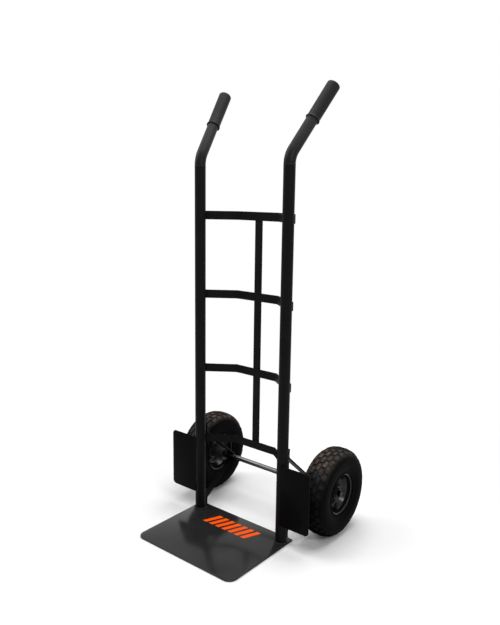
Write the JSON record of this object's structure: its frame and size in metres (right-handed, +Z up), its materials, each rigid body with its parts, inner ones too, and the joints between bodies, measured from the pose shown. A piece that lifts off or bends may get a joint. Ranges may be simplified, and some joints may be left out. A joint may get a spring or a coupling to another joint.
{
  "type": "hand truck",
  "caption": "Upright tube-frame hand truck with flat toe plate, hat-shaped crossbars, flared grips, wheel guards and air-filled block-tread wheels on a V-stayed axle.",
  "frame": {"origin": "on the ground, in the middle of the whole outline seen from above", "axes": "+X to the right seen from the front, +Y backwards from the toe plate to the wheels, +Z up"},
  "size_m": [0.552, 0.519, 1.2806],
  "materials": {
    "frame_paint": "smooth satin black powder coat",
    "handle_paint": "smooth satin black powder coat",
    "grip_plastic": "smooth soft black plastic, slightly dull",
    "plate_paint": "dark grey gloss powder coat",
    "guard_paint": "satin black powder coat",
    "axle_steel": "bright drawn steel",
    "spacer_steel": "black painted steel",
    "tyre_rubber": "black rubber, dusty brown on the tread",
    "tube_rubber": "plain black butyl rubber",
    "cap_plastic": "black moulded plastic",
    "rim_paint": "gloss black enamel on pressed steel",
    "bolt_zinc": "zinc-plated steel",
    "bearing_steel": "ground steel with pressed shields"
  },
  "bodies": {
    "frame": {"left_post": "frame_paint", "right_post": "frame_paint", "left_handle_tube": "handle_paint", "right_handle_tube": "handle_paint", "left_grip": "grip_plastic", "right_grip": "grip_plastic", "bottom_crossbar": "frame_paint", "lower_crossbar": "frame_paint", "upper_crossbar": "frame_paint", "top_crossbar": "frame_paint", "centre_strut": "frame_paint", "toe_plate": "plate_paint", "left_guard": "guard_paint", "right_guard": "guard_paint", "left_axle_stay": "frame_paint", "right_axle_stay": "frame_paint", "axle": "axle_steel", "left_spacer": "spacer_steel", "right_spacer": "spacer_steel", "left_washer": "axle_steel", "right_washer": "axle_steel", "left_split_pin": "axle_steel", "right_split_pin": "axle_steel"},
    "left_wheel": {"left_tyre": "tyre_rubber", "left_inner_tube": "tube_rubber", "left_valve_cap": "cap_plastic", "left_outer_rim": "rim_paint", "left_inner_rim": "rim_paint", "left_rim_bolts": "bolt_zinc", "left_hub": "rim_paint", "left_hub_bearings": "bearing_steel"},
    "right_wheel": {"right_tyre": "tyre_rubber", "right_inner_tube": "tube_rubber", "right_valve_cap": "cap_plastic", "right_outer_rim": "rim_paint", "right_inner_rim": "rim_paint", "right_rim_bolts": "bolt_zinc", "right_hub": "rim_paint", "right_hub_bearings": "bearing_steel"}
  },
  "joints": [
    {"name": "left_wheel_spin", "type": "hinge", "parent": "frame", "child": "left_wheel", "pos_m": [-0.235, 0.1295, 0.13], "axis": [1, 0, 0], "continuous": true},
    {"name": "right_wheel_spin", "type": "hinge", "parent": "frame", "child": "right_wheel", "pos_m": [0.235, 0.1295, 0.13], "axis": [1, 0, 0], "continuous": true}
  ]
}
